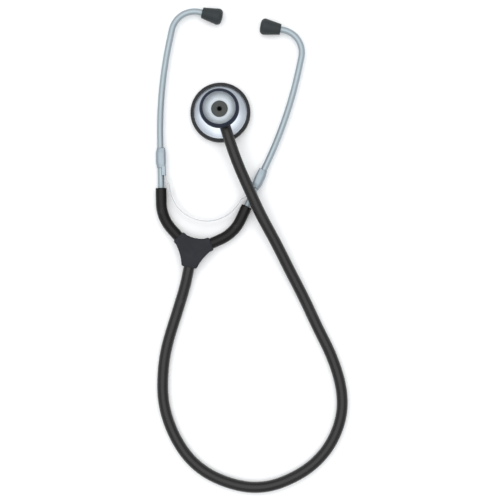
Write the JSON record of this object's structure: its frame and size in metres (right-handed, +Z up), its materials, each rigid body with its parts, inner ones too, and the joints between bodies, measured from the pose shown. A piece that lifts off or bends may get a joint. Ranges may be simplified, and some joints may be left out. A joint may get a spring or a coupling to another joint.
{
  "type": "stethoscope",
  "caption": "Dual-head stethoscope with a single hose, a moulded yoke, sprung metal ear tubes and a bell and diaphragm chestpiece, laid on a table with the bell up.",
  "frame": {"origin": "on the table, under the middle of the box round the headset and chestpiece, without the main hose", "axes": "+Y from the yoke to the eartips, +Z up out of the table, +X to the right of the headset seen from above with the eartips at the top"},
  "size_m": [0.2033, 0.3741, 0.0297],
  "materials": {
    "hose_pvc": "satin",
    "yoke_moulding": "matte",
    "connector_plastic": "satin",
    "spring_steel": "satin",
    "ear_tube_metal": "satin",
    "sleeve_metal": "satin",
    "ferrule_metal": "satin",
    "eartip_soft": "matte",
    "chrome": "polished",
    "machined_steel": "satin",
    "seal_rubber": "matte",
    "bush_grey": "matte",
    "bell_rim_rubber": "satin",
    "diaphragm_film": "satin",
    "diaphragm_rim_plastic": "satin"
  },
  "bodies": {
    "root": {"main_tube": "hose_pvc", "yoke": "yoke_moulding", "yoke_connector": "connector_plastic", "left_arm_tube": "hose_pvc", "right_arm_tube": "hose_pvc", "leaf_spring": "spring_steel", "stem": "machined_steel", "inner_stem_seal": "seal_rubber", "outer_stem_seal": "seal_rubber"},
    "left_binaural": {"left_ear_tube": "ear_tube_metal", "left_spring_sleeve": "sleeve_metal", "left_eartip_ferrule": "ferrule_metal", "left_eartip": "eartip_soft"},
    "right_binaural": {"right_ear_tube": "ear_tube_metal", "right_spring_sleeve": "sleeve_metal", "right_eartip_ferrule": "ferrule_metal", "right_eartip": "eartip_soft"},
    "chestpiece": {"stem_collar": "machined_steel", "head_body": "chrome", "detent_ball": "machined_steel", "detent_spring": "spring_steel", "detent_screw": "machined_steel", "bell_cup": "chrome", "bell_bush": "bush_grey", "bell_rim": "bell_rim_rubber", "diaphragm": "diaphragm_film", "diaphragm_retainer": "machined_steel", "diaphragm_rim": "diaphragm_rim_plastic"}
  },
  "joints": [
    {"name": "right_ear_tube_spread", "type": "hinge", "parent": "root", "child": "right_binaural", "pos_m": [0.024, -0.067, 0.0065], "axis": [0, 0, -1], "range_deg": [-4.5, 22], "stiffness_Nm_per_rad": 1, "deforming": ["right_arm_tube", "leaf_spring"]},
    {"name": "left_ear_tube_spread", "type": "hinge", "parent": "root", "child": "left_binaural", "pos_m": [-0.024, -0.067, 0.0065], "axis": [0, 0, 1], "range_deg": [-4.5, 22], "stiffness_Nm_per_rad": 1, "deforming": ["left_arm_tube", "leaf_spring"]},
    {"name": "chestpiece_turn", "type": "hinge", "parent": "root", "child": "chestpiece", "pos_m": [-0.00169, 0.02352, 0.01545], "axis": [0.4981, -0.8627, 0.0872], "continuous": true}
  ],
  "couplings": [
    {"joint": "left_ear_tube_spread", "follows": "right_ear_tube_spread", "ratio": 1}
  ]
}
